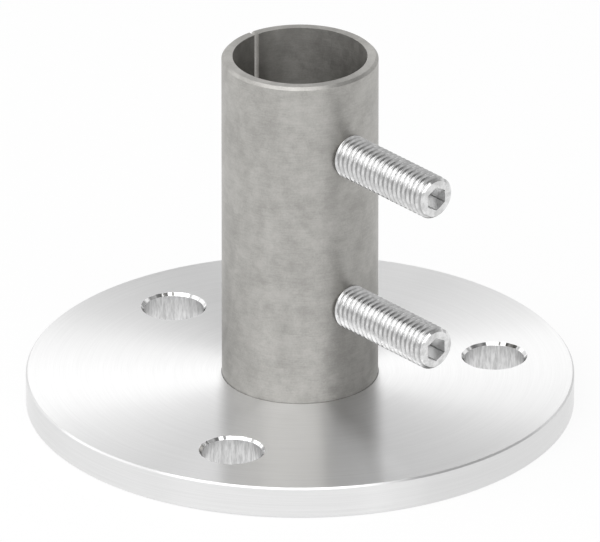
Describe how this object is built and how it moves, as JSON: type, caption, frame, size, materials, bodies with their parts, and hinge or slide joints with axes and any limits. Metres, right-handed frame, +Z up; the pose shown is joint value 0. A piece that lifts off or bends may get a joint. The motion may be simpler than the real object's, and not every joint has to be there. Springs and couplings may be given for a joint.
{
  "type": "wall and floor anchor",
  "caption": "Round steel base plate with fixing holes and an upright slit sleeve, which set screws spread inside a tubular post to clamp it.",
  "frame": {"origin": "centre of the plate's flat underside", "axes": "+Z up along the sleeve's axis, away from the floor or wall; the set screws point out along -Y, and the sleeve's slit faces +Y"},
  "size_m": [0.1, 0.1, 0.069],
  "materials": {
    "plate_steel": "circular brushed stainless steel",
    "sleeve_steel": "matt mill-finished stainless steel tube",
    "weld_steel": "as welded",
    "screw_steel": "bright rolled stainless steel"
  },
  "bodies": {
    "anchor": {"base_plate": "plate_steel", "sleeve": "sleeve_steel", "weld_bead": "weld_steel"},
    "upper_screw": {"set_screw_upper": "screw_steel"},
    "lower_screw": {"set_screw_lower": "screw_steel"}
  },
  "joints": [
    {"name": "upper_screw_travel", "type": "slide", "parent": "anchor", "child": "upper_screw", "axis": [0, -1, 0], "range_m": [-0.0225, 0.0295]},
    {"name": "lower_screw_travel", "type": "slide", "parent": "anchor", "child": "lower_screw", "axis": [0, -1, 0], "range_m": [-0.0225, 0.0295]}
  ]
}
